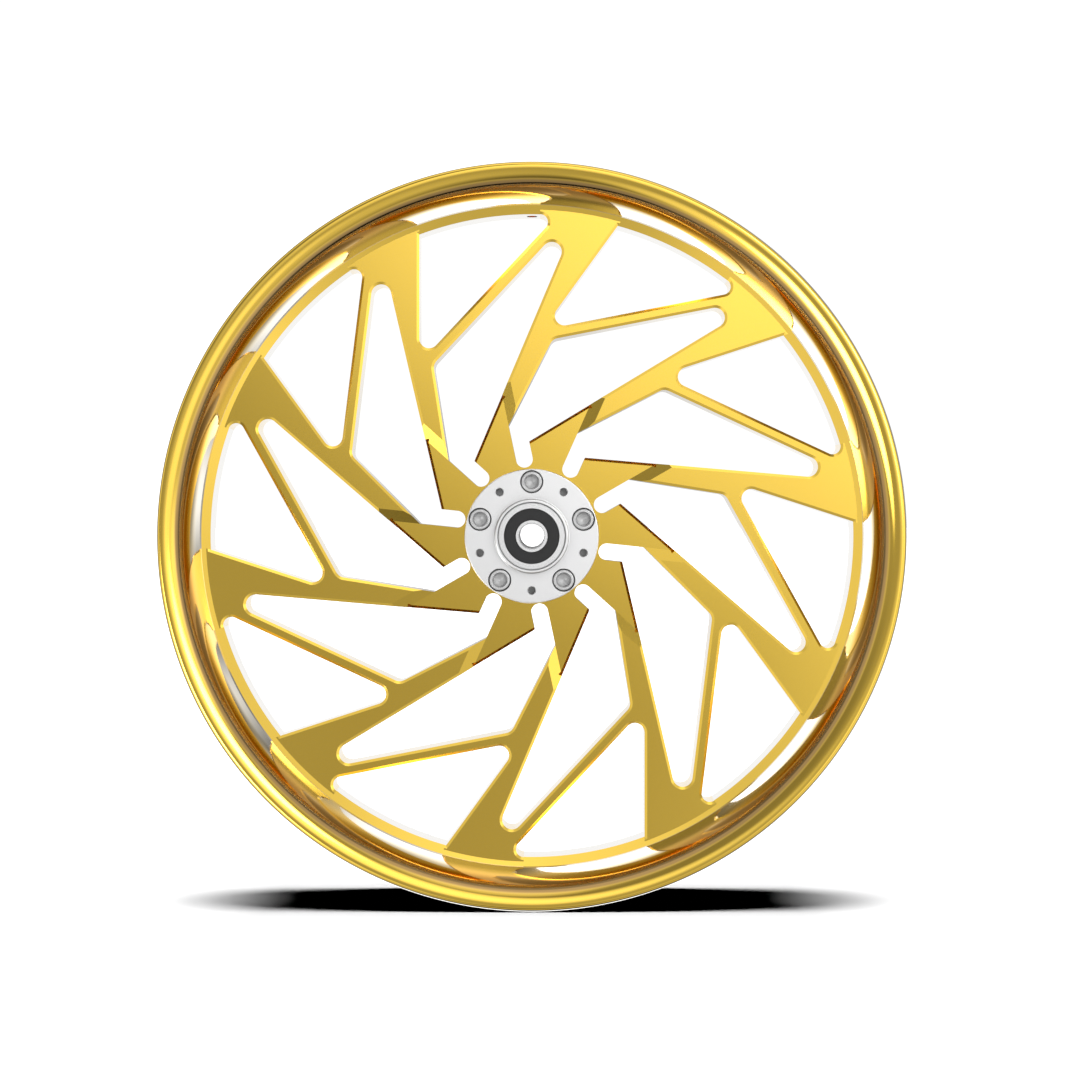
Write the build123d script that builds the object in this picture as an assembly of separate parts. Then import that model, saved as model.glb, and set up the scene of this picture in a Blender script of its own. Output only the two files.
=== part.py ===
"""Forged ten-spoke 21 x 3.5 in front wheel for a motorcycle, with its bolted hub and bearings.

Frame: origin at the wheel's centre, the axle along Y, +Z up. The bolt side faces -Y.
Flat outlines are drawn in (x, z), and angles in them run clockwise from +Z as seen
from the bolt side. Millimetres.
"""
from build123d import *
from math import atan2, cos, degrees, hypot, radians, sin, tan
import os

# ---- rim, 21 x 3.5 MT: half widths along the axle, and radii ----
rim_half_width = 52.0
lip_radius = 283.8
lip_edge_round = 3.9
lip_face_round = 16.8
lip_throat_round = 26.0
barrel_mouth_round = 65.0
lip_face_tilt = 48.0
lip_throat_tilt = 58.0
barrel_tilt = 74.0
lip_back_round = 2.9
flange_hollow = (276.6, 46.3)
flange_root = (272.4, 45.6)
bead_corner = (269.7, 43.6)
bead_seat = (269.0, 40.6)
bead_seat_end = (267.0, 27.0)
hump_top = (267.6, 24.6)
hump_end = (266.2, 22.6)
shoulder_radius = 255.0
shoulder_half = 18.2
well_inner_radius = 248.6
well_inner_half = 12.8
well_wall = 5.0
well_floor_half = 11.0
valve_hole_radius = 4.15
valve_hole_angle = 0.0
rim_corner_half = 24.8
gap_play = 0.2
gap_reach = 5.0
bed_reach = 22.0
bed_depth = 20.0

# ---- ten-spoke centre ----
spoke_count = 10
pitch = 360.0 / spoke_count
spoke_half = 15.5
hub_seat_half = 11.5
hub_seat_radius = 84.0
spoke_bevel_depth = 1.3
spoke_bevel_width = 2.0
hub_seat_chamfer = 2.0

leg_outer_point = (-44.5, 58.1)
leg_outer_angle = 22.9
leg_inner_point = (-19.1, 83.2)
leg_inner_angle = 27.1
brace_lower_point = (15.3, 151.7)
brace_angle = 79.0
brace_width = 8.6
pad_edge_point = (21.8, 178.1)
pad_edge_angle = 36.0

slot_centre = (-5.9, 59.1)
slot_half_width = 6.5
slot_angle = -12.0
ramp_length = 8.5
ramp_cut_side = 32.0
ramp_cut_back = 45.0
ramp_cut_length = 85.0
ramp_cut_spare = 1.0

window_end_round = 7.6
window_knee_round = 8.0
window_root_round = 7.5
window_rim_round = 6.2
window_reach = 30.0
bevel_reach = 1.0
bevel_start = 10.0

# ---- hub ----
hub_radius = 51.0
hub_face = 44.0
pilot_face = 49.0
pilot_radius = 27.94
hub_spigot_radius = 30.0
hub_spigot_length = 31.0
hub_core_radius = 16.0
hub_edge_chamfer = 0.8
hub_core_step = 4.0
bearing_stop_play = 0.6
spigot_gap = 0.5
hub_screw_count = 5
bolt_circle = 82.55

screw_radius = 11.11 / 2
screw_length = 60.0
screw_head_radius = 8.25
screw_head_height = 11.1
screw_hex_flats = 9.525
screw_hex_depth = 5.5
screw_head_chamfer = 1.2
screw_end_chamfer = 0.9
screw_end_room = 1.5
screw_sink = 1.5
washer_thickness = 1.6
washer_radius = 8.1
counterbore_radius = 8.8
screw_clearance_radius = 5.8
rotor_hole_radius = 3.3
rotor_hole_depth = 20.0
hole_overrun = 1.0

# ---- bearings, 3/4 in bore x 52 x 15 ----
axle_radius = 9.525
bearing_radius = 26.0
bearing_width = 15.0
bearing_recess = 1.0
ball_radius = 9.525 / 2
ball_count = 7
ball_pitch_radius = 18.0
ball_play = 0.05
outer_race_chamfer = 1.1
bore_chamfer = 0.5
inner_shoulder_radius = 15.0
outer_shoulder_radius = 21.1
seal_land_radius = 11.95
seal_play = 0.05
seal_thickness = 1.3
seal_edge = 1.3
seal_rib = 0.35
seal_recess = 0.4
seal_land_depth = 2.1
cage_inner_radius = 16.6
cage_outer_radius = 19.4
cage_half_width = 5.4
cage_pocket_play = 0.18
spacer_outer_radius = 13.0
spacer_bore_radius = 9.8


# ---------------------------------------------------------------- plane geometry

def heading(angle):
    """Unit vector at this angle, clockwise from +Z."""
    return sin(radians(angle)), cos(radians(angle))


def along(point, angle, distance):
    """The point this far from another, along an angle."""
    dx, dz = heading(angle)
    return point[0] + distance * dx, point[1] + distance * dz


def turned(point, angle):
    """The point turned clockwise about the wheel's centre."""
    s, c = sin(radians(angle)), cos(radians(angle))
    return point[0] * c + point[1] * s, point[1] * c - point[0] * s


def crossing(point_a, angle_a, point_b, angle_b):
    """Where two lines, each given by a point and an angle, cross."""
    ax, az = heading(angle_a)
    bx, bz = heading(angle_b)
    reach = ((point_b[0] - point_a[0]) * bz - (point_b[1] - point_a[1]) * bx) / (ax * bz - az * bx)
    return along(point_a, angle_a, reach)


def on_circle(point, angle, radius):
    """Where a line that starts inside a circle about the centre leaves it."""
    dx, dz = heading(angle)
    inner = point[0] * dx + point[1] * dz
    reach = -inner + (inner * inner + radius * radius - hypot(*point) ** 2) ** 0.5
    return along(point, angle, reach)


def bearing_of(point):
    """Angle of a point, clockwise from +Z."""
    return degrees(atan2(point[0], point[1]))


def rounded(face, corner, radius):
    """The face with its corner at this point rounded."""
    nearest = face.vertices().sort_by_distance(Vector(*corner))[0]
    return fillet(nearest, radius)


def through(face, half):
    """A flat (x, z) outline made into a solid that reaches this far each way along Y."""
    return extrude(Plane.XZ * face, amount=half, both=True)


def ring_of(solid, count, first=0.0):
    """The solid repeated evenly about the axle."""
    return [Rot(0, first + step * 360.0 / count, 0) * solid for step in range(count)]


def turned_profile(points):
    """A closed (radius, y) outline spun about the axle."""
    return revolve(make_face(Polyline(*points, close=True)), Axis.Y)


def tube(outer, inner, y_from, y_to):
    """A plain ring about the axle."""
    return turned_profile([(inner, y_from), (outer, y_from), (outer, y_to), (inner, y_to)])


def post(radius, bolt_radius, angle, y_from, y_to):
    """A cylinder parallel to the axle, at a polar place."""
    x, z = bolt_radius * heading(angle)[0], bolt_radius * heading(angle)[1]
    rod = Cylinder(radius, y_to - y_from, align=(Align.CENTER, Align.CENTER, Align.MIN))
    return Pos(x, y_from, z) * Rot(-90, 0, 0) * rod


def as_group(solids):
    """Separate solids kept as one node."""
    return Compound(children=[piece for item in solids for piece in item.solids()])


# ---------------------------------------------------------------- rim

def rolled(start, tilt_from, tilt_to, bend):
    """The middle and end of an arc of the section, as (radius, distance from the middle plane).

    A tilt is the angle of the surface's normal from the axle, positive away from the wheel's centre.
    """
    def at(tilt):
        side, front = heading(tilt)
        back, low = heading(tilt_from)
        return start[0] + bend * (side - back), start[1] + bend * (front - low)
    return at((tilt_from + tilt_to) / 2), at(tilt_to)


def rim_section():
    """Half of the rim's section, as (radius, y), from the well's middle out to the bolt side's lip."""
    crest = (lip_radius - lip_edge_round, rim_half_width)
    edge = rolled(crest, 0, 90, lip_edge_round)
    back = rolled(edge[1], 90, 180, lip_back_round)
    face = rolled(crest, 0, -lip_face_tilt, lip_face_round)
    throat = rolled(face[1], -lip_face_tilt, -lip_throat_tilt, lip_throat_round)
    mouth = rolled(throat[1], -lip_throat_tilt, -barrel_tilt, barrel_mouth_round)
    shoulder = (shoulder_radius, shoulder_half)
    well_corner = (well_inner_radius, well_inner_half)
    floor_radius = well_inner_radius + well_wall

    def line(a, b):
        return Line((a[0], -a[1]), (b[0], -b[1]))

    def arc(a, b, c):
        return ThreePointArc((a[0], -a[1]), (b[0], -b[1]), (c[0], -c[1]))

    return make_face([
        line((well_inner_radius, 0), well_corner),
        line(well_corner, shoulder),
        line(shoulder, mouth[1]),
        arc(mouth[1], mouth[0], throat[1]),
        arc(throat[1], throat[0], face[1]),
        arc(face[1], face[0], crest),
        arc(crest, edge[0], edge[1]),
        arc(edge[1], back[0], back[1]),
        arc(back[1], flange_hollow, flange_root),
        arc(flange_root, bead_corner, bead_seat),
        line(bead_seat, bead_seat_end),
        arc(bead_seat_end, hump_top, hump_end),
        line(hump_end, (floor_radius, well_floor_half)),
        line((floor_radius, well_floor_half), (floor_radius, 0)),
        line((floor_radius, 0), (well_inner_radius, 0)),
    ])


def rim():
    front = revolve(rim_section(), Axis.Y)
    whole = front + mirror(front, Plane.XZ)
    hole = Cylinder(valve_hole_radius, 6 * well_wall)
    return whole - Rot(0, valve_hole_angle, 0) * Pos(0, 0, well_inner_radius) * hole


# ---------------------------------------------------------------- ten-spoke centre

next_leg_point = turned(leg_outer_point, pitch)
next_leg_angle = leg_outer_angle + pitch
slot_left = along(slot_centre, slot_angle - 90, slot_half_width)
slot_right = along(slot_centre, slot_angle + 90, slot_half_width)
slot_shoulder = crossing(slot_left, slot_angle, leg_inner_point, leg_inner_angle)
brace_knee = crossing(leg_inner_point, leg_inner_angle, brace_lower_point, brace_angle)
brace_upper_point = along(brace_lower_point, brace_angle - 90, brace_width)


def long_window():
    """The opening from the slot at the hub up between a leg, its brace and the next leg."""
    spoke_tip = crossing(slot_right, slot_angle, next_leg_point, next_leg_angle)
    far_end = crossing(next_leg_point, next_leg_angle, brace_lower_point, brace_angle)
    face = make_face(
        Polyline(slot_left, slot_right, spoke_tip, far_end, brace_knee, slot_shoulder, close=True)
    )
    face = rounded(face, far_end, window_end_round)
    face = rounded(face, brace_knee, window_knee_round)
    return face + Pos(*slot_centre) * Circle(slot_half_width)


def rim_window():
    """The three-sided opening between a brace, its pad and the rim."""
    root = crossing(brace_upper_point, brace_angle, pad_edge_point, pad_edge_angle)
    tip = on_circle(pad_edge_point, pad_edge_angle, well_inner_radius)
    end = on_circle(brace_upper_point, brace_angle, well_inner_radius)
    crown = turned((0, well_inner_radius), (bearing_of(tip) + bearing_of(end)) / 2)
    edges = [Line(root, tip), ThreePointArc(tip, crown, end), Line(end, root)]
    face = rounded(make_face(edges), end, window_rim_round)
    return rounded(face, root, window_root_round)


def rim_gap():
    """Clears the sliver that a rim window leaves in front of the rim's shoulder."""
    near_radius, far_radius = well_inner_radius - gap_play, shoulder_radius + gap_reach
    tip = on_circle(pad_edge_point, pad_edge_angle, near_radius)
    far_tip = on_circle(pad_edge_point, pad_edge_angle, far_radius)
    end = on_circle(brace_upper_point, brace_angle, well_inner_radius)
    round_start = window_rim_round / tan(radians(rim_corner_half))
    end_angle = bearing_of(end) - degrees(round_start / well_inner_radius)
    low = turned((0, near_radius), end_angle)
    high = turned((0, far_radius), end_angle)
    middle = (bearing_of(tip) + end_angle) / 2
    edges = [
        Line(tip, far_tip),
        ThreePointArc(far_tip, turned((0, far_radius), middle), high),
        Line(high, low),
        ThreePointArc(low, turned((0, near_radius), middle), tip),
    ]
    return make_face(edges)


def seat_cut():
    """Lowers the front of the centre to the hub's seat, with a ramp up to each spoke."""
    top = spoke_half + ramp_cut_spare
    disc = tube(hub_seat_radius, ramp_cut_spare, -top, -hub_seat_half)
    section = make_face(
        Polyline(
            (-ramp_cut_side, hub_seat_half), (0, hub_seat_half), (ramp_length, spoke_half),
            (ramp_length, top), (-ramp_cut_side, top), close=True,
        )
    )
    dx, dz = heading(slot_angle)
    foot = along(slot_shoulder, slot_angle, -ramp_cut_back)
    plane = Plane(origin=(foot[0], 0, foot[1]), x_dir=(dz, 0, -dx), z_dir=(dx, 0, dz))
    wedge = extrude(plane * section, amount=ramp_cut_length)
    return [disc] + ring_of(wedge, spoke_count)


def rim_bed():
    """The inside of the rim as a cutter, so that the pads end exactly on it."""
    slope = (shoulder_radius - well_inner_radius) / (shoulder_half - well_inner_half)
    far = well_inner_radius + slope * (bed_reach - well_inner_half)
    return turned_profile([
        (well_inner_radius, -well_inner_half), (far, -bed_reach), (far + bed_depth, -bed_reach),
        (far + bed_depth, bed_reach), (far, bed_reach), (well_inner_radius, well_inner_half),
    ])


def flared(face):
    """A window's cutter: straight through, with a wide shallow bevel at each spoke face."""
    start = spoke_half - spoke_bevel_depth
    slant = degrees(atan2(spoke_bevel_width, spoke_bevel_depth))
    mouth = Pos(0, -start, 0) * extrude(Plane.XZ * face, amount=spoke_bevel_depth + bevel_reach, taper=-slant)
    return through(face, window_reach) + mouth + mirror(mouth, Plane.XZ)


def hub_edge_bevel():
    """Bevel along the leading edge of one spoke where it is at the level of the hub's seat."""
    end = crossing(leg_outer_point, leg_outer_angle, slot_left, slot_angle)
    length = hypot(end[0] - leg_outer_point[0], end[1] - leg_outer_point[1])
    dx, dz = heading(leg_outer_angle)
    start = along(leg_outer_point, leg_outer_angle, -bevel_start)
    plane = Plane(origin=(start[0], 0, start[1]), x_dir=(dz, 0, -dx), z_dir=(dx, 0, dz))
    out, high = -bevel_reach, hub_seat_half + bevel_reach
    low, inside = hub_seat_half - hub_seat_chamfer - bevel_reach, hub_seat_chamfer + bevel_reach
    section = make_face(Polyline((out, low), (inside, high), (out, high), close=True))
    return extrude(plane * section, amount=length + bevel_start)


def wheel_centre():
    body = through(Circle(shoulder_radius), spoke_half)
    cut = flared(long_window()) + flared(rim_window()) + through(rim_gap(), window_reach)
    for cutter in ring_of(cut, spoke_count):
        body = body - cutter
    body = body - rim_bed()
    bevel = hub_edge_bevel()
    for front_cut in seat_cut() + ring_of(bevel, spoke_count):
        body = body - front_cut - mirror(front_cut, Plane.XZ)
    body = body - Rot(90, 0, 0) * Cylinder(hub_spigot_radius, 2 * window_reach)
    for step in range(hub_screw_count):
        angle = step * 360.0 / hub_screw_count
        body = body - post(screw_clearance_radius, bolt_circle / 2, angle, -window_reach, window_reach)
    return body


# ---------------------------------------------------------------- hub

def ring_place(angle):
    return Rot(0, angle, 0) * Pos(0, 0, bolt_circle / 2)


def screw_holes(front):
    """Cutters for the clamp screws: counterbored from the bolt side, blind in the rear half."""
    cuts = []
    for step in range(hub_screw_count):
        angle = step * 360.0 / hub_screw_count
        if front:
            floor = screw_seat
            cuts.append(post(counterbore_radius, bolt_circle / 2, angle, -hub_face - hole_overrun, floor))
            cuts.append(post(screw_clearance_radius, bolt_circle / 2, angle, floor - hole_overrun, 0))
        else:
            end = screw_under_head + screw_length
            cuts.append(post(screw_radius, bolt_circle / 2, angle, 0, end + screw_end_room))
    return cuts


def rotor_holes(side):
    """Cutters for the brake rotor's threads; side is -1 at the bolt side and 1 at the back."""
    low, high = sorted((side * (hub_face + hole_overrun), side * (hub_face - rotor_hole_depth)))
    offset = 180.0 / hub_screw_count
    return [
        post(rotor_hole_radius, bolt_circle / 2, offset + step * 360.0 / hub_screw_count, low, high)
        for step in range(hub_screw_count)
    ]


screw_under_head = -hub_face + screw_sink + screw_head_height
screw_seat = screw_under_head + washer_thickness
bearing_outboard = pilot_face - bearing_recess
bearing_inboard = bearing_outboard - bearing_width
spigot_end = hub_seat_half - hub_spigot_length


def hub_section(side, inner_end, inner_points):
    """Hub half outline from the bearing bore round to the inner end."""
    edge = hub_edge_chamfer
    core_end = side * (bearing_inboard - hub_core_step)
    stop_radius = outer_shoulder_radius + bearing_stop_play
    return [
        (bearing_radius, side * pilot_face),
        (pilot_radius - edge, side * pilot_face),
        (pilot_radius, side * (pilot_face - edge)),
        (pilot_radius, side * (hub_face + edge)),
        (pilot_radius + edge, side * hub_face),
        (hub_radius - edge, side * hub_face),
        (hub_radius, side * (hub_face - edge)),
        (hub_radius, side * hub_seat_half),
    ] + inner_points + [
        (hub_core_radius, inner_end),
        (hub_core_radius, core_end),
        (stop_radius, core_end),
        (stop_radius, side * bearing_inboard),
        (bearing_radius, side * bearing_inboard),
    ]


def front_hub():
    pocket = spigot_end - spigot_gap
    outline = hub_section(-1, pocket, [(hub_spigot_radius, -hub_seat_half), (hub_spigot_radius, pocket)])
    return turned_profile(outline) - screw_holes(True) - rotor_holes(-1)


def rear_hub():
    spigot = [(hub_spigot_radius, hub_seat_half), (hub_spigot_radius, spigot_end)]
    outline = hub_section(1, spigot_end, spigot)
    return turned_profile(outline) - screw_holes(False) - rotor_holes(1)


def hub_screw():
    """Socket-head cap screw along +Y, its head's underside at the origin."""
    head = Cylinder(screw_head_radius, screw_head_height, align=(Align.CENTER, Align.CENTER, Align.MIN))
    head = chamfer(head.edges().group_by(Axis.Z)[-1], screw_head_chamfer)
    socket = extrude(RegularPolygon(screw_hex_flats / 2, 6, major_radius=False), screw_hex_depth)
    head = head - Pos(0, 0, screw_head_height - screw_hex_depth) * socket
    shank = Cylinder(screw_radius, screw_length, align=(Align.CENTER, Align.CENTER, Align.MAX))
    shank = chamfer(shank.edges().group_by(Axis.Z)[0], screw_end_chamfer)
    return Rot(90, 0, 0) * (head + shank)


def hub_screws():
    screw = Pos(0, screw_under_head, 0) * hub_screw()
    return as_group([ring_place(step * 360.0 / hub_screw_count) * screw for step in range(hub_screw_count)])


def hub_screw_washers():
    low, high = screw_under_head, screw_seat
    rings = []
    for step in range(hub_screw_count):
        angle = step * 360.0 / hub_screw_count
        disc = post(washer_radius, bolt_circle / 2, angle, low, high)
        hole = post(screw_clearance_radius, bolt_circle / 2, angle, low - hole_overrun, high + hole_overrun)
        rings.append(disc - hole)
    return as_group(rings)


# ---------------------------------------------------------------- bearings

def groove(middle):
    """The ball groove of both races as a cutter, about this place along the axle."""
    circle = Pos(ball_pitch_radius, middle) * Circle(ball_radius + ball_play)
    return revolve(circle, Axis.Y)


def outer_race(low, high):
    corner = outer_race_chamfer
    ring = turned_profile([
        (outer_shoulder_radius, low), (bearing_radius - corner, low), (bearing_radius, low + corner),
        (bearing_radius, high - corner), (bearing_radius - corner, high), (outer_shoulder_radius, high),
    ])
    return ring - groove((low + high) / 2)


def inner_race(low, high):
    """The inner race, stepped at both ends for the lips of the seals."""
    ends = seal_land_depth
    ring = turned_profile([
        (axle_radius, low + bore_chamfer), (axle_radius + bore_chamfer, low), (seal_land_radius, low),
        (seal_land_radius, low + ends), (inner_shoulder_radius, low + ends),
        (inner_shoulder_radius, high - ends), (seal_land_radius, high - ends),
        (seal_land_radius, high), (axle_radius + bore_chamfer, high), (axle_radius, high - bore_chamfer),
    ])
    return ring - groove((low + high) / 2)


def balls(middle):
    ball = Pos(0, middle, ball_pitch_radius) * Sphere(ball_radius)
    return as_group(ring_of(ball, ball_count))


def cage(middle):
    low, high = middle - cage_half_width, middle + cage_half_width
    ring = tube(cage_outer_radius, cage_inner_radius, low, high)
    pocket = Pos(0, middle, ball_pitch_radius) * Sphere(ball_radius + cage_pocket_play)
    return ring - ring_of(pocket, ball_count)


def seal(face, inward):
    """Rubber seal whose outer face is at this place; inward is +1 or -1 along Y."""
    inner = seal_land_radius + seal_play
    rib_inner, rib_outer = inner + seal_edge, outer_shoulder_radius - seal_edge
    deep = face + inward * seal_thickness
    step = face + inward * seal_rib
    return turned_profile([
        (inner, step), (rib_inner, step), (rib_inner, face), (rib_outer, face),
        (rib_outer, step), (outer_shoulder_radius, step), (outer_shoulder_radius, deep), (inner, deep),
    ])


def bearing(name, side):
    """Every piece of one bearing, by node name; side is -1 at the bolt side and 1 at the back."""
    low, high = sorted((side * bearing_outboard, side * bearing_inboard))
    middle = (low + high) / 2
    outboard_face = side * (bearing_outboard - seal_recess)
    inboard_face = side * (bearing_inboard + seal_recess)
    return {
        name + "_bearing_outer_race": outer_race(low, high),
        name + "_bearing_inner_race": inner_race(low, high),
        name + "_bearing_balls": balls(middle),
        name + "_bearing_cage": cage(middle),
        name + "_bearing_outboard_seal": seal(outboard_face, -side),
        name + "_bearing_inboard_seal": seal(inboard_face, side),
    }


def axle_spacer():
    """Tube between the inner races, so that the axle nut doesn't load the bearings."""
    return tube(spacer_outer_radius, spacer_bore_radius, -bearing_inboard, bearing_inboard)


def nodes():
    made = {
        "rim": rim(),
        "wheel_centre": wheel_centre(),
        "front_hub": front_hub(),
        "rear_hub": rear_hub(),
        "hub_screws": hub_screws(),
        "hub_screw_washers": hub_screw_washers(),
        "axle_spacer": axle_spacer(),
    }
    made.update(bearing("front", -1))
    made.update(bearing("rear", 1))
    return made


if __name__ == "__main__":
    os.makedirs("parts", exist_ok=True)
    for node, shape in nodes().items():
        export_step(shape, f"parts/{node}.step")
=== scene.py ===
"""Looks for the spoked motorcycle wheel: gold rim and centre, turned silver hub, sealed bearings."""
import math

import bpy
import bmesh
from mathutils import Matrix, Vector


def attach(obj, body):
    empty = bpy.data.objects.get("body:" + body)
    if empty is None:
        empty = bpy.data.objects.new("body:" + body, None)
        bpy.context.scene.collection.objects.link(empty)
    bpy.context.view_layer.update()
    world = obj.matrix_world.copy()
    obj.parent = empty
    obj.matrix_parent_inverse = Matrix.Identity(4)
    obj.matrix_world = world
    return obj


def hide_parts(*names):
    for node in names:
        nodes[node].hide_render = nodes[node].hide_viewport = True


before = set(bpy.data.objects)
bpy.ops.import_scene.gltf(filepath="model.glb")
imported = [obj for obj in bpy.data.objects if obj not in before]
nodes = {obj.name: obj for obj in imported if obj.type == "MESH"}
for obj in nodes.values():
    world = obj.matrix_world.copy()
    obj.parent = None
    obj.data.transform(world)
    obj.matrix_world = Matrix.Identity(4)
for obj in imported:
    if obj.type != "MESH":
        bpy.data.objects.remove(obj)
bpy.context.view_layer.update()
MM = 0.001

# ---- camera: it faces the bolt side, a little above and to the right of the axle ----
CAMERA_PLACE = (9.3 * MM, -1602 * MM, 21.3 * MM)
CAMERA_LENS = 68.47
CAMERA_SENSOR = 36.0
CAMERA_SHIFT = (-0.0037, -0.0296)
CAMERA_REACH = 100.0

# ---- studio: floor, backdrop and the overhead lamp ----
FLOOR_HEIGHT = -284.0 * MM
FLOOR_HALF = 30.0
FLOOR_COLOUR = (0.92, 0.92, 0.92, 1)
BACKDROP_LEVEL = 1.05
SUN_STRENGTH = 6.0
SUN_ANGLE = 32.0

# ---- the surroundings that the metal reflects ----
# brightness by the angle from the bolt side's axis, in degrees: 0 is in front of the wheel, 180 behind it
LEVELS = [
    (0, 0.40),
    (50, 0.37),
    (60, 0.80),
    (76, 0.85),
    (84, 0.32),
    (101, 0.30),
    (114, 0.45),
    (137, 2.3),
    (152, 2.3),
    (168, 0.95),
    (173, 0.95),
    (178, 0.35),
]
TOP_LEVEL = 4.0
DARKEST_LEVEL = 0.02
# soft patches: clockwise from up and away from the bolt side's axis, then full out to and gone by, all in
# degrees, and the strength that the patch adds
PATCHES = [
    (27, 20, 3, 24, 1.1),
    (108, 25, 5, 20, 0.55),
    (58, 31, 4, 17, 6.0),
    (240, 38, 5, 18, 6.0),
    (225, 40, 4, 26, 0.7),
    (6, 56, 4, 18, 0.35),
    (78, 52, 4, 20, 0.8),
    (125, 45, 15, 45, 0.28),
    (325, 48, 14, 38, -0.12),
    (170, 75, 20, 45, -0.30),
    (0, 78, 10, 40, 0.25),
    (30, 139, 6, 24, -0.9),
    (62, 139, 6, 24, -1.4),
    (97, 139, 6, 24, -1.15),
    (135, 139, 6, 24, -1.05),
]

# ---- rim section, millimetres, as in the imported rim: (radius, distance from the middle plane) ----
RIM_HALF_WIDTH = 52.0
LIP_RADIUS = 283.8
LIP_EDGE_ROUND = 3.9
LIP_BACK_ROUND = 2.9
LIP_FACE_ROUND = 16.8
LIP_THROAT_ROUND = 26.0
BARREL_MOUTH_ROUND = 65.0
LIP_FACE_TILT = 48.0
LIP_THROAT_TILT = 58.0
BARREL_TILT = 74.0
FLANGE_HOLLOW = (276.6, 46.3)
FLANGE_ROOT = (272.4, 45.6)
BEAD_CORNER = (269.7, 43.6)
BEAD_SEAT = (269.0, 40.6)
BEAD_SEAT_END = (267.0, 27.0)
HUMP_TOP = (267.6, 24.6)
HUMP_END = (266.2, 22.6)
WELL_FLOOR = (253.6, 11.0)
SHOULDER = (255.0, 18.2)
WELL_CORNER = (248.6, 12.8)
VALVE_HOLE_RADIUS = 4.15
VALVE_HOLE_SIDES = 64
VALVE_CUT_BEYOND = 8.0
RIM_SEGMENTS = 720
ARC_STEP = 2.0
ARC_POINTS = 8
SHARP_ANGLE = 28.0

# ---- hub halves: the tilt of their bevels and the turn that stays smooth, degrees ----
BEVEL_TILTS = (38.0, 52.0)
SMOOTH_TURN = 20.0
# points nearer than this are one, in metres: as meshed from the CAD, and within a mesh made here
CAD_POINT_GAP = 2e-6
POINT_GAP = 1e-7

# ---- hub screws and the rotor's threads, millimetres ----
BOLT_CIRCLE = 82.55
SCREW_COUNT = 5
HEAD_TOP = -42.5
HEAD_BOTTOM = -31.4
HEAD_RADIUS = 8.25
HEAD_ROUND = 1.2
HEAD_ROUND_STEPS = 6
KNURL_DEPTH = 0.14
KNURL_FROM_ROUND = 0.5
KNURL_FROM_BOTTOM = 0.9
FOOT_HEIGHT = 0.5
FOOT_INSETS = (0.1, 0.5)
SHANK_RADIUS = 5.555
SHANK_END = 28.6
SHANK_BEVEL = 0.9
HEX_FLATS = 9.525
HEX_DEPTH = 5.5
HEX_MOUTH = 5.85
HEX_POINT = 0.6
HEX_DRILL_SHARE = 0.8
HEX_TIP_RADIUS = 0.05
HEX_FLOOR_EDGE = 0.4
HEX_BEVEL_EDGE = 0.3
HEX_MOUTH_EDGES = (0.05, 0.1)
HEX_CLOCKING = (4, 23, 41, 12, 52)
SCREW_SIDES = 96
THREAD_RADIUS = 3.3
THREAD_CREST = 2.75
THREAD_PITCH = 1.25
THREAD_TURNS = 11
THREAD_START = 43.3
THREAD_SIDES = 36

# ---- materials: colours, lengths in metres and noise scales per metre ----
GOLD_DARK = (0.97, 0.63, 0.060, 1)
GOLD_LIGHT = (1.0, 0.67, 0.075, 1)
# the brown of the painted shade in the rim's throat
GOLD_THROAT_PAINTED_SHADE = (0.42, 0.25, 0.07, 1)
GOLD_MARK_DEPTH = 0.0000008
PALE = (0.95, 0.93, 0.88, 1)
# how far a surface is turned away where the gold starts to pale, and where it's palest
PALING_RANGE = (0.26, 0.62)
LACQUER_ROUGHNESS = 0.03
# the throat's painted shade, a brown band, in millimetres: radii where it comes and goes, and depths where
# it comes
THROAT_SHADE_RADII = (258.6, 263.4, 268.8, 272.0)
THROAT_SHADE_DEPTHS = (30.0, 34.0)
PATCH_SCALE = 9.0
PATCH_DETAIL = 3.0
MARK_DETAIL = 4.0
NOISE_ROUGHNESS = 0.5
NOISE_RANGE = (0.3, 0.7)
# painted shade in hollows: how far the occlusion looks, the range it ramps over, and its samples
HOLLOW_REACH = 0.009
HOLLOW_RANGE = (0.25, 0.95)
HOLLOW_SAMPLES = 8
GRAIN_SCALE = 900.0
GRAIN_DEPTH = 0.00003
GRAIN_SHADE = 0.7
GRAIN_GLOSS = 0.08


class Graph:
    """A short way to write node trees."""

    def __init__(self, tree):
        self.tree = tree
        self.tree.nodes.clear()

    def add(self, kind, **settings):
        node = self.tree.nodes.new(kind)
        for name, value in settings.items():
            setattr(node, name, value)
        return node

    def put(self, socket, value):
        if isinstance(value, bpy.types.NodeSocket):
            self.tree.links.new(value, socket)
        else:
            socket.default_value = value

    def math(self, operation, *values):
        node = self.add("ShaderNodeMath", operation=operation)
        for socket, value in zip(node.inputs, values):
            self.put(socket, value)
        return node.outputs[0]

    def ramp_range(self, value, low, high, to_low, to_high, smooth=False):
        node = self.add("ShaderNodeMapRange", interpolation_type="SMOOTHSTEP" if smooth else "LINEAR")
        for name, setting in (("Value", value), ("From Min", low), ("From Max", high),
                              ("To Min", to_low), ("To Max", to_high)):
            self.put(node.inputs[name], setting)
        return node.outputs["Result"]

    def dot(self, vector, axis):
        node = self.add("ShaderNodeVectorMath", operation="DOT_PRODUCT")
        self.put(node.inputs[0], vector)
        self.put(node.inputs[1], axis)
        return node.outputs["Value"]


def direction(clock, polar):
    """A direction: clockwise from up as seen from the bolt side, and away from the bolt side's axis."""
    a, p = math.radians(clock), math.radians(polar)
    return (math.sin(p) * math.sin(a), -math.cos(p), math.sin(p) * math.cos(a))


# ---------------------------------------------------------------- studio

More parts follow.
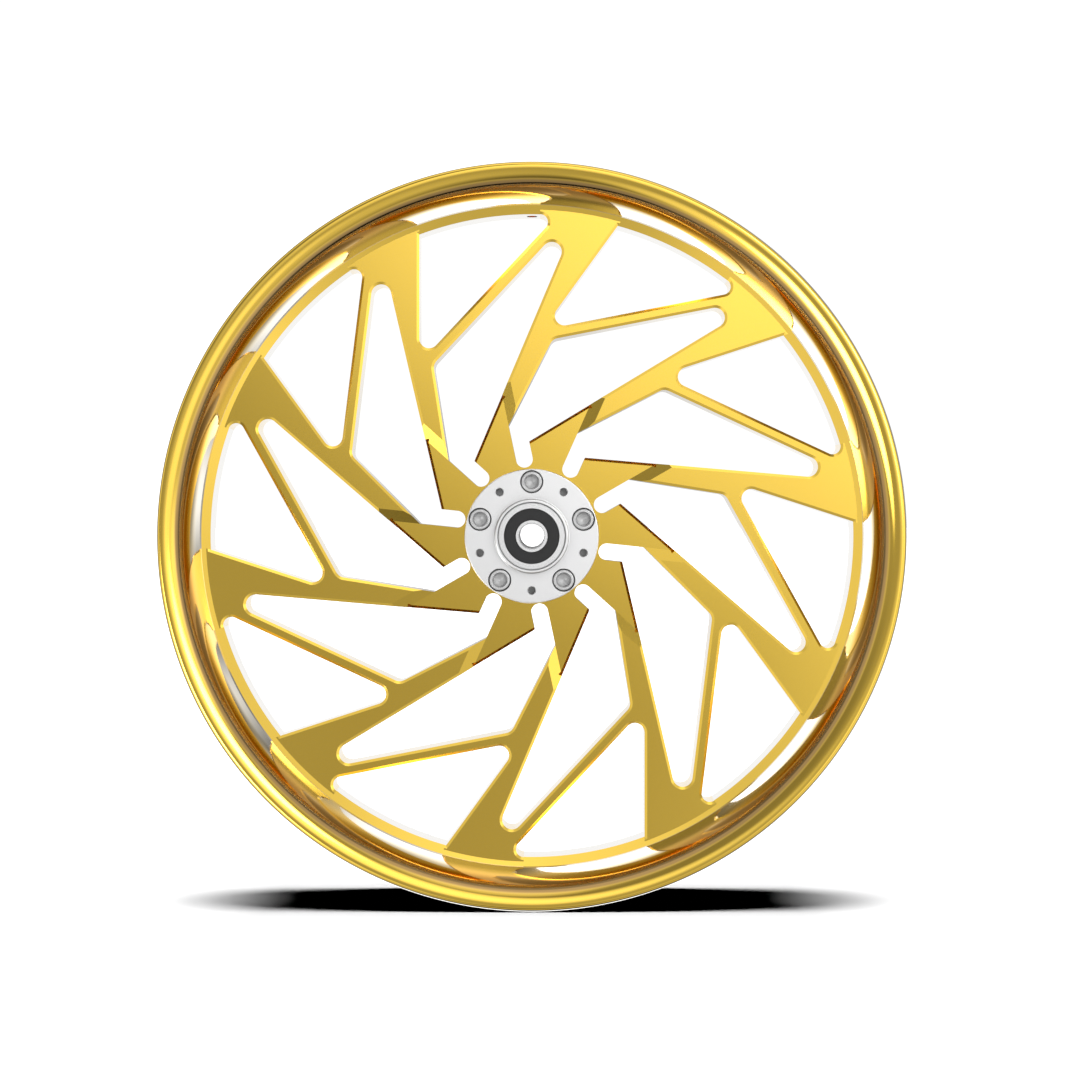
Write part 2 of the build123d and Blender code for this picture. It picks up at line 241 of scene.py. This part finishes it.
def make_world():
    """The surroundings that the metal mirrors; the camera sees an even backdrop instead."""
    world = bpy.data.worlds.new("studio")
    bpy.context.scene.world = world
    world.use_nodes = True
    g = Graph(world.node_tree)
    where = g.add("ShaderNodeTexCoord").outputs["Generated"]
    polar = g.math("ARCCOSINE", g.dot(where, (0, -1, 0)))
    curve = g.add("ShaderNodeValToRGB")
    curve.color_ramp.interpolation = "EASE"
    g.put(curve.inputs["Fac"], g.math("MULTIPLY", polar, 1 / math.pi))
    stops = curve.color_ramp.elements
    for index, (angle, level) in enumerate(LEVELS):
        stop = stops[index] if index < 2 else stops.new(angle / 180)
        stop.position = angle / 180
        share = level / TOP_LEVEL
        stop.color = (share, share, share, 1)
    total = g.math("MULTIPLY", curve.outputs["Color"], TOP_LEVEL)
    for clock, away, full, gone, strength in PATCHES:
        lean = g.dot(where, direction(clock, away))
        lobe = g.ramp_range(lean, math.cos(math.radians(gone)), math.cos(math.radians(full)),
                            0.0, strength, smooth=True)
        total = g.math("ADD", total, lobe)
    total = g.math("MAXIMUM", total, DARKEST_LEVEL)
    seen = g.add("ShaderNodeLightPath").outputs["Is Camera Ray"]
    both = g.add("ShaderNodeMix", data_type="FLOAT")
    g.put(both.inputs["Factor"], seen)
    g.put(both.inputs["A"], total)
    g.put(both.inputs["B"], BACKDROP_LEVEL)
    background = g.add("ShaderNodeBackground")
    g.put(background.inputs["Color"], (1, 1, 1, 1))
    g.put(background.inputs["Strength"], both.outputs["Result"])
    out = g.add("ShaderNodeOutputWorld")
    g.put(out.inputs["Surface"], background.outputs[0])
    world.cycles_visibility.diffuse = False


def make_camera():
    data = bpy.data.cameras.new("camera")
    data.lens = CAMERA_LENS
    data.sensor_width = CAMERA_SENSOR
    data.shift_x, data.shift_y = CAMERA_SHIFT
    data.clip_end = CAMERA_REACH
    camera = bpy.data.objects.new("camera", data)
    camera.location = CAMERA_PLACE
    camera.rotation_euler = (math.radians(90), 0, 0)
    bpy.context.scene.collection.objects.link(camera)
    bpy.context.scene.camera = camera


def make_sun():
    """A broad lamp straight overhead: a sun shines down unless it's turned."""
    data = bpy.data.lights.new("overhead", "SUN")
    data.energy = SUN_STRENGTH
    data.angle = math.radians(SUN_ANGLE)
    lamp = bpy.data.objects.new("overhead", data)
    lamp.visible_glossy = False
    bpy.context.scene.collection.objects.link(lamp)


def make_floor():
    mesh = bpy.data.meshes.new("floor")
    b = FLOOR_HALF
    mesh.from_pydata([(-b, -b, 0), (b, -b, 0), (b, b, 0), (-b, b, 0)], [], [(0, 1, 2, 3)])
    floor = bpy.data.objects.new("floor", mesh)
    floor.location = (0, 0, FLOOR_HEIGHT)
    floor.visible_glossy = False
    bpy.context.scene.collection.objects.link(floor)
    material = bpy.data.materials.new("floor")
    material.use_nodes = True
    shader = material.node_tree.nodes["Principled BSDF"]
    shader.inputs["Base Color"].default_value = FLOOR_COLOUR
    shader.inputs["Roughness"].default_value = 1.0
    shader.inputs["Specular IOR Level"].default_value = 0.0
    mesh.materials.append(material)


# ---------------------------------------------------------------- materials

def principled(name):
    material = bpy.data.materials.new(name)
    material.use_nodes = True
    g = Graph(material.node_tree)
    shader = g.add("ShaderNodeBsdfPrincipled")
    out = g.add("ShaderNodeOutputMaterial")
    g.put(out.inputs["Surface"], shader.outputs[0])
    return material, g, shader


def place(g):
    return g.add("ShaderNodeTexCoord").outputs["Object"]


def radius_and_depth(g):
    """The distance from the axle, and the distance along it from the middle plane."""
    parts = g.add("ShaderNodeSeparateXYZ")
    g.put(parts.inputs[0], place(g))
    across = g.math("MULTIPLY", parts.outputs["X"], parts.outputs["X"])
    up = g.math("MULTIPLY", parts.outputs["Z"], parts.outputs["Z"])
    return g.math("SQRT", g.math("ADD", across, up)), parts.outputs["Y"]


def round_the_axle(g):
    """A vector that doesn't change on the way round the axle, for turning marks."""
    joined = g.add("ShaderNodeCombineXYZ")
    radius, depth = radius_and_depth(g)
    g.put(joined.inputs["X"], radius)
    g.put(joined.inputs["Y"], depth)
    return joined.outputs[0]


def noise(g, vector, scale, detail):
    node = g.add("ShaderNodeTexNoise")
    g.put(node.inputs["Vector"], vector)
    g.put(node.inputs["Scale"], scale)
    g.put(node.inputs["Detail"], detail)
    g.put(node.inputs["Roughness"], NOISE_ROUGHNESS)
    return node.outputs["Fac"]


def marks_and_patches(g, turned, mark_scale):
    """Fine marks, which run round the axle on a turned piece, and broad soft patches."""
    where = round_the_axle(g) if turned else place(g)
    return noise(g, where, mark_scale, MARK_DETAIL), noise(g, place(g), PATCH_SCALE, PATCH_DETAIL)


def mixed(g, factor, a, b):
    node = g.add("ShaderNodeMix", data_type="RGBA")
    g.put(node.inputs["Factor"], factor)
    g.put(node.inputs["A"], a)
    g.put(node.inputs["B"], b)
    return node.outputs["Result"]


def bumped(g, shader, height, distance):
    node = g.add("ShaderNodeBump")
    g.put(node.inputs["Height"], height)
    g.put(node.inputs["Distance"], distance)
    g.put(node.inputs["Strength"], 1.0)
    g.put(shader.inputs["Normal"], node.outputs[0])


def painted_shade_in_hollows(g, colour, painted_shade_level):
    """The colour, taken down to this level in hollows and beside steps: painted shade."""
    node = g.add("ShaderNodeAmbientOcclusion", samples=HOLLOW_SAMPLES)
    g.put(node.inputs["Distance"], HOLLOW_REACH)
    painted_shade_factor = g.ramp_range(node.outputs["AO"], *HOLLOW_RANGE, painted_shade_level, 1.0)
    product = g.add("ShaderNodeMix", data_type="RGBA", blend_type="MULTIPLY")
    g.put(product.inputs["Factor"], 1.0)
    joined = g.add("ShaderNodeCombineXYZ")
    for axis in "XYZ":
        g.put(joined.inputs[axis], painted_shade_factor)
    g.put(product.inputs["A"], colour)
    g.put(product.inputs["B"], joined.outputs[0])
    return product.outputs["Result"]


def metal(name, greys, roughness, turned, mark_scale, mark_depth, painted_shade_level=0.65):
    """A grey metal in patches of two greys, with painted shade in its hollows and fine marks in its
    roughness and surface.
    """
    material, g, shader = principled(name)
    dark, light = [(level, level, level, 1) for level in greys]
    shader.inputs["Metallic"].default_value = 1.0
    marks, patches = marks_and_patches(g, turned, mark_scale)
    colour = mixed(g, patches, dark, light)
    # the base colour carries painted shade in hollows and beside steps
    g.put(shader.inputs["Base Color"], painted_shade_in_hollows(g, colour, painted_shade_level))
    g.put(shader.inputs["Roughness"], g.ramp_range(marks, *NOISE_RANGE, *roughness))
    bumped(g, shader, marks, mark_depth)
    return material


def rubber(name, colour, roughness):
    material, g, shader = principled(name)
    grain = noise(g, place(g), GRAIN_SCALE, PATCH_DETAIL)
    shade = [GRAIN_SHADE * part for part in colour[:3]] + [1]
    g.put(shader.inputs["Base Color"], mixed(g, grain, shade, colour))
    spread = g.ramp_range(grain, *NOISE_RANGE, roughness - GRAIN_GLOSS, roughness + GRAIN_GLOSS)
    g.put(shader.inputs["Roughness"], spread)
    bumped(g, shader, grain, GRAIN_DEPTH)
    return material


def painted_throat_shade(g):
    """Where the rim's brown painted shade goes: 1 in the rim's throat, where the lip turns into the barrel,
    and 0 elsewhere.
    """
    radius, depth = radius_and_depth(g)
    low_from, low_to, high_from, high_to = [edge * MM for edge in THROAT_SHADE_RADII]
    inner = g.ramp_range(radius, low_from, low_to, 0.0, 1.0, smooth=True)
    outer = g.ramp_range(radius, high_from, high_to, 1.0, 0.0, smooth=True)
    deep_from, deep_to = [edge * MM for edge in THROAT_SHADE_DEPTHS]
    deep = g.ramp_range(g.math("ABSOLUTE", depth), deep_from, deep_to, 0.0, 1.0)
    return g.math("MULTIPLY", g.math("MULTIPLY", inner, outer), deep)


def gold(name, roughness, turned, mark_scale, paling):
    """Polished gold under clear lacquer, paler at a shallow angle; the turned rim's throat carries a brown
    painted shade.
    """
    material, g, shader = principled(name)
    shader.inputs["Metallic"].default_value = 1.0
    shader.inputs["Coat Weight"].default_value = 1.0
    shader.inputs["Coat Roughness"].default_value = LACQUER_ROUGHNESS
    marks, patches = marks_and_patches(g, turned, mark_scale)
    body = mixed(g, patches, GOLD_DARK, GOLD_LIGHT)
    facing = g.add("ShaderNodeLayerWeight").outputs["Facing"]
    shallow = g.ramp_range(facing, *PALING_RANGE, 0.0, paling, smooth=True)
    colour = mixed(g, shallow, body, PALE)
    # painted shade: a brown band in the turned rim's throat
    if turned:
        colour = mixed(g, painted_throat_shade(g), colour, GOLD_THROAT_PAINTED_SHADE)
    g.put(shader.inputs["Base Color"], colour)
    g.put(shader.inputs["Roughness"], g.ramp_range(marks, *NOISE_RANGE, *roughness))
    bumped(g, shader, marks, GOLD_MARK_DEPTH)
    return material


# ---------------------------------------------------------------- rim

def rolled(start, tilt_from, tilt_to, bend):
    """Points of an arc of the section after its start; a tilt is the normal's angle from the axle."""
    count = max(2, round(abs(tilt_to - tilt_from) / ARC_STEP))
    a = math.radians(tilt_from)
    points = []
    for step in range(1, count + 1):
        b = math.radians(tilt_from + (tilt_to - tilt_from) * step / count)
        points.append((start[0] + bend * (math.sin(b) - math.sin(a)),
                       start[1] + bend * (math.cos(b) - math.cos(a))))
    return points


def arc_through(a, b, c):
    """Points after a of the arc through three points."""
    d = 2 * (a[0] * (b[1] - c[1]) + b[0] * (c[1] - a[1]) + c[0] * (a[1] - b[1]))
    squares = [q[0] ** 2 + q[1] ** 2 for q in (a, b, c)]
    x = (squares[0] * (b[1] - c[1]) + squares[1] * (c[1] - a[1]) + squares[2] * (a[1] - b[1])) / d
    y = (squares[0] * (c[0] - b[0]) + squares[1] * (a[0] - c[0]) + squares[2] * (b[0] - a[0])) / d
    radius = math.hypot(a[0] - x, a[1] - y)
    angles = [math.atan2(q[1] - y, q[0] - x) for q in (a, b, c)]
    turn = [(angles[i] - angles[0] + math.pi) % (2 * math.pi) - math.pi for i in (0, 1, 2)]
    points = []
    for step in range(1, ARC_POINTS + 1):
        angle = angles[0] + turn[2] * step / ARC_POINTS
        points.append((x + radius * math.cos(angle), y + radius * math.sin(angle)))
    return points


def rim_half():
    """The section's front half, from the well's inner face round the lip to the well's floor."""
    crest = (LIP_RADIUS - LIP_EDGE_ROUND, RIM_HALF_WIDTH)
    inner = rolled(crest, 0, -LIP_FACE_TILT, LIP_FACE_ROUND)
    inner += rolled(inner[-1], -LIP_FACE_TILT, -LIP_THROAT_TILT, LIP_THROAT_ROUND)
    inner += rolled(inner[-1], -LIP_THROAT_TILT, -BARREL_TILT, BARREL_MOUTH_ROUND)
    outer = rolled(crest, 0, 90, LIP_EDGE_ROUND)
    outer += rolled(outer[-1], 90, 180, LIP_BACK_ROUND)
    outer += arc_through(outer[-1], FLANGE_HOLLOW, FLANGE_ROOT)
    outer += arc_through(FLANGE_ROOT, BEAD_CORNER, BEAD_SEAT)
    outer.append(BEAD_SEAT_END)
    outer += arc_through(BEAD_SEAT_END, HUMP_TOP, HUMP_END)
    outer.append(WELL_FLOOR)
    return [WELL_CORNER, SHOULDER] + inner[::-1] + [crest] + outer


def mesh_object(name, mesh, material):
    piece = bpy.data.objects.new(name, mesh)
    bpy.context.scene.collection.objects.link(piece)
    mesh.materials.clear()
    mesh.materials.append(material)
    mesh.shade_smooth()
    mesh.set_sharp_from_angle(angle=math.radians(SHARP_ANGLE))
    return piece


def spun(name, section, segments):
    """A closed (radius, y) section in millimetres spun about the axle."""
    mesh = bpy.data.meshes.new(name)
    points, faces = [], []
    count = len(section)
    for step in range(segments):
        a = 2 * math.pi * step / segments
        points += [(r * MM * math.sin(a), y * MM, r * MM * math.cos(a)) for r, y in section]
        for i in range(count):
            here, there = step * count, (step + 1) % segments * count
            j = (i + 1) % count
            faces.append((here + i, here + j, there + j, there + i))
    mesh.from_pydata(points, [], faces)
    mesh.validate()
    work = bmesh.new()
    work.from_mesh(mesh)
    bmesh.ops.recalc_face_normals(work, faces=work.faces)
    work.to_mesh(mesh)
    work.free()
    return mesh


def drilled(mesh, radius, inner, outer):
    """The mesh with a round hole through it along +Z, between two heights in millimetres."""
    cutter_mesh = bpy.data.meshes.new("cutter")
    work = bmesh.new()
    bmesh.ops.create_cone(work, cap_ends=True, segments=VALVE_HOLE_SIDES, radius1=radius * MM,
                          radius2=radius * MM, depth=(outer - inner) * MM)
    bmesh.ops.translate(work, verts=work.verts, vec=(0, 0, (outer + inner) / 2 * MM))
    work.to_mesh(cutter_mesh)
    work.free()
    cutter = bpy.data.objects.new("cutter", cutter_mesh)
    body = bpy.data.objects.new("body", mesh)
    for item in (cutter, body):
        bpy.context.scene.collection.objects.link(item)
    cut = body.modifiers.new("hole", "BOOLEAN")
    cut.object = cutter
    cut.operation = "DIFFERENCE"
    cut.solver = "EXACT"
    made = bpy.data.meshes.new_from_object(body.evaluated_get(bpy.context.evaluated_depsgraph_get()))
    for item in (cutter, body):
        bpy.data.objects.remove(item)
    return made


def make_rim(material):
    """The rim of the pack's own section, finely spun, with the valve hole drilled at the top."""
    half = rim_half()
    section = [(r, -h) for r, h in half] + [(r, h) for r, h in half[::-1]]
    mesh = drilled(spun("rim_body", section, RIM_SEGMENTS), VALVE_HOLE_RADIUS,
                   WELL_CORNER[0] - VALVE_CUT_BEYOND, WELL_FLOOR[0] + VALVE_CUT_BEYOND)
    mesh.name = "rim_body"
    piece = mesh_object("rim_body", mesh, material)
    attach(piece, "wheel")
    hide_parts("rim")


# ---------------------------------------------------------------- hub halves

def softened(node, name, body, material):
    """A CAD piece whose narrow 45 degree bevels are shaded round, between the flats beside them."""
    source = nodes[node]
    mesh = source.data.copy()
    mesh.name = name
    work = bmesh.new()
    work.from_mesh(mesh)
    bmesh.ops.transform(work, matrix=source.matrix_world, verts=work.verts)
    bmesh.ops.remove_doubles(work, verts=work.verts, dist=CAD_POINT_GAP)
    bmesh.ops.dissolve_degenerate(work, edges=work.edges, dist=POINT_GAP)
    work.normal_update()
    bevels = {}
    for face in work.faces:
        tilt = math.degrees(math.acos(min(1.0, abs(face.normal.y))))
        bevels[face] = BEVEL_TILTS[0] < tilt < BEVEL_TILTS[1]
        face.smooth = True
    for edge in work.edges:
        edge.smooth = True
    smooth_turn = math.cos(math.radians(SMOOTH_TURN))
    bevel_turn = math.cos(math.radians(BEVEL_TILTS[1]))
    normals = []
    for face in work.faces:
        for loop in face.loops:
            around = loop.vert.link_faces
            flats = [f for f in around if not bevels[f] and f.normal.dot(face.normal) > bevel_turn]
            if bevels[face] and flats:
                chosen = flats
            else:
                chosen = [f for f in around if bevels[f] == bevels[face]
                          and f.normal.dot(face.normal) > smooth_turn]
            total = Vector((0, 0, 0))
            for f in chosen:
                corner = next(item for item in f.loops if item.vert == loop.vert)
                total += f.normal * corner.calc_angle()
            normals.append(tuple(total.normalized()) if total.length > 0 else tuple(face.normal))
    work.to_mesh(mesh)
    work.free()
    mesh.materials.clear()
    mesh.materials.append(material)
    mesh.normals_split_custom_set(normals)
    piece = bpy.data.objects.new(name, mesh)
    bpy.context.scene.collection.objects.link(piece)
    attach(piece, body)
    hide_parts(node)


# ---------------------------------------------------------------- screws and threads

def rings_to_mesh(name, groups):
    """A closed body for each group of rings: a group's rings join in order and its end rings are lidded."""
    points, faces = [], []
    for rings in groups:
        first, sides = len(points), len(rings[0])
        for ring in rings:
            points += ring
        for row in range(len(rings) - 1):
            for i in range(sides):
                a, b = first + row * sides, first + (row + 1) * sides
                j = (i + 1) % sides
                faces.append((a + i, a + j, b + j, b + i))
        for row in (0, len(rings) - 1):
            middle = len(points)
            points.append(tuple(sum(q[k] for q in rings[row]) / sides for k in range(3)))
            a = first + row * sides
            for i in range(sides):
                faces.append((a + i, a + (i + 1) % sides, middle))
    mesh = bpy.data.meshes.new(name)
    mesh.from_pydata(points, [], faces)
    mesh.validate()
    work = bmesh.new()
    work.from_mesh(mesh)
    bmesh.ops.remove_doubles(work, verts=work.verts, dist=POINT_GAP)
    bmesh.ops.recalc_face_normals(work, faces=work.faces)
    work.to_mesh(mesh)
    work.free()
    return mesh


def on_bolt_circle(clock, x, y, z):
    """A point given from a bolt's own axis, moved out to the bolt circle at this angle; millimetres in."""
    a = math.radians(clock)
    z += BOLT_CIRCLE / 2
    return ((x * math.cos(a) + z * math.sin(a)) * MM, y * MM, (z * math.cos(a) - x * math.sin(a)) * MM)


def screw_rings(clock, clocking):
    """Rings of one socket-head screw, from the point of its socket round to the end of its shank."""
    def ring(radius_at, y_at):
        made = []
        for i in range(SCREW_SIDES):
            a = 2 * math.pi * i / SCREW_SIDES
            r, y = radius_at(i, a), y_at(i, a)
            b = a + math.radians(clocking)
            made.append(on_bolt_circle(clock, r * math.sin(b), y, r * math.cos(b)))
        return made

    def hexagon(i, a):
        return HEX_FLATS / 2 / math.cos((a % (math.pi / 3)) - math.pi / 6)

    def plain(radius, y):
        return ring(lambda i, a: radius, lambda i, a: y)

    def knurled(y):
        return ring(lambda i, a: HEAD_RADIUS - KNURL_DEPTH * (i % 2), lambda i, a: y)

    # the socket: the drill's point, the hexagon's floor and walls, and the bevel round its mouth
    floor = HEAD_TOP + HEX_DEPTH
    drill = HEX_FLATS / 2 * HEX_DRILL_SHARE
    bevel_foot = HEAD_TOP + HEX_MOUTH
    within, beyond = HEX_MOUTH_EDGES
    rings = [
        plain(HEX_TIP_RADIUS, floor + HEX_POINT),
        plain(drill / 2, floor + HEX_POINT / 2),
        plain(drill, floor),
        ring(hexagon, lambda i, a: floor),
        ring(hexagon, lambda i, a: floor - HEX_FLOOR_EDGE),
        ring(hexagon, lambda i, a: bevel_foot - hexagon(i, a) + HEX_BEVEL_EDGE),
        ring(hexagon, lambda i, a: bevel_foot - hexagon(i, a)),
        plain(HEX_MOUTH - within, HEAD_TOP + within),
        plain(HEX_MOUTH, HEAD_TOP),
        plain(HEX_MOUTH + beyond, HEAD_TOP),
    ]
    # the head's rounded edge
    for step in range(HEAD_ROUND_STEPS + 1):
        a = math.radians(90 * step / HEAD_ROUND_STEPS)
        rings.append(plain(HEAD_RADIUS - HEAD_ROUND + HEAD_ROUND * math.sin(a),
                           HEAD_TOP + HEAD_ROUND - HEAD_ROUND * math.cos(a)))
    # the knurled side, the head's foot and the shank
    side_inset, foot_inset = FOOT_INSETS
    rings += [
        knurled(HEAD_TOP + HEAD_ROUND + KNURL_FROM_ROUND),
        knurled(HEAD_BOTTOM - KNURL_FROM_BOTTOM),
        plain(HEAD_RADIUS - side_inset, HEAD_BOTTOM - FOOT_HEIGHT),
        plain(HEAD_RADIUS - foot_inset, HEAD_BOTTOM),
        plain(SHANK_RADIUS, HEAD_BOTTOM),
        plain(SHANK_RADIUS, SHANK_END - SHANK_BEVEL),
        plain(SHANK_RADIUS - SHANK_BEVEL, SHANK_END),
    ]
    return rings


def make_screws(material):
    groups = [screw_rings(360 / SCREW_COUNT * k, HEX_CLOCKING[k]) for k in range(SCREW_COUNT)]
    piece = mesh_object("socket_head_screws", rings_to_mesh("socket_head_screws", groups), material)
    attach(piece, "wheel")
    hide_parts("hub_screws")


def make_threads(name, side, material):
    """The cut threads in the rotor's five holes; side is -1 at the bolt side and 1 at the back."""
    points, faces = [], []
    rows = 2 * THREAD_TURNS
    for hole in range(SCREW_COUNT):
        clock = 360 / SCREW_COUNT * (hole + 0.5)
        first = len(points)
        for j in range(THREAD_SIDES):
            turn = j / THREAD_SIDES
            a = 2 * math.pi * turn
            for row in range(rows):
                r = THREAD_RADIUS if row % 2 == 0 else THREAD_CREST
                y = side * (THREAD_START - THREAD_PITCH * (row / 2 + turn))
                points.append(on_bolt_circle(clock, r * math.sin(a), y, r * math.cos(a)))
        for j in range(THREAD_SIDES):
            last = j == THREAD_SIDES - 1
            for row in range(rows - 3 if last else rows - 1):
                a = first + j * rows + row
                b = first + (row + 2 if last else (j + 1) * rows + row)
                faces.append((a, a + 1, b + 1, b))
    mesh = bpy.data.meshes.new(name)
    mesh.from_pydata(points, [], faces)
    mesh.validate()
    piece = mesh_object(name, mesh, material)
    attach(piece, "wheel")


# ---------------------------------------------------------------- the wheel

gold_rim = gold("gold_rim", (0.07, 0.11), turned=True, mark_scale=2500.0, paling=0.92)
gold_centre = gold("gold_centre", (0.09, 0.14), turned=False, mark_scale=1500.0, paling=0.25)
silver = metal("hub_aluminium", (0.86, 0.93), (0.26, 0.40), turned=True, mark_scale=3000.0,
               mark_depth=0.000004)
screw_steel = metal("screw_steel", (0.56, 0.64), (0.46, 0.56), turned=False, mark_scale=2500.0,
                    mark_depth=0.000003)
# the threads take only a light painted shade in their hollows
thread_metal = metal("thread_metal", (0.70, 0.80), (0.35, 0.45), turned=False, mark_scale=2500.0,
                     mark_depth=0.000003, painted_shade_level=0.9)
bearing_steel = metal("bearing_steel", (0.93, 0.98), (0.22, 0.3), turned=True, mark_scale=3000.0,
                      mark_depth=0.000002)
spacer_metal = metal("spacer_aluminium", (0.40, 0.48), (0.55, 0.65), turned=True, mark_scale=3000.0,
                     mark_depth=0.000003)
seal_rubber = rubber("seal_rubber", (0.006, 0.006, 0.0065, 1), roughness=0.5)
cage_polymer = rubber("cage_polymer", (0.30, 0.20, 0.10, 1), roughness=0.45)

FINISHES = {
    "rim": gold_rim,
    "wheel_centre": gold_centre,
    "front_hub": silver,
    "rear_hub": silver,
    "hub_screws": screw_steel,
    "hub_screw_washers": screw_steel,
    "axle_spacer": spacer_metal,
}
for side in ("front", "rear"):
    FINISHES[side + "_bearing_outer_race"] = bearing_steel
    FINISHES[side + "_bearing_inner_race"] = bearing_steel
    FINISHES[side + "_bearing_balls"] = bearing_steel
    FINISHES[side + "_bearing_cage"] = cage_polymer
    FINISHES[side + "_bearing_outboard_seal"] = seal_rubber
    FINISHES[side + "_bearing_inboard_seal"] = seal_rubber

for name, material in FINISHES.items():
    for index in range(len(nodes[name].data.materials)):
        nodes[name].data.materials[index] = material

make_rim(gold_rim)
make_screws(screw_steel)
make_threads("front_rotor_threads", -1, thread_metal)
make_threads("rear_rotor_threads", 1, thread_metal)
softened("front_hub", "front_hub_body", "wheel", silver)
softened("rear_hub", "rear_hub_body", "wheel", silver)
make_camera()
make_world()
make_sun()
make_floor()
bpy.context.scene.view_settings.view_transform = "Standard"
bpy.context.scene.cycles.caustics_reflective = False
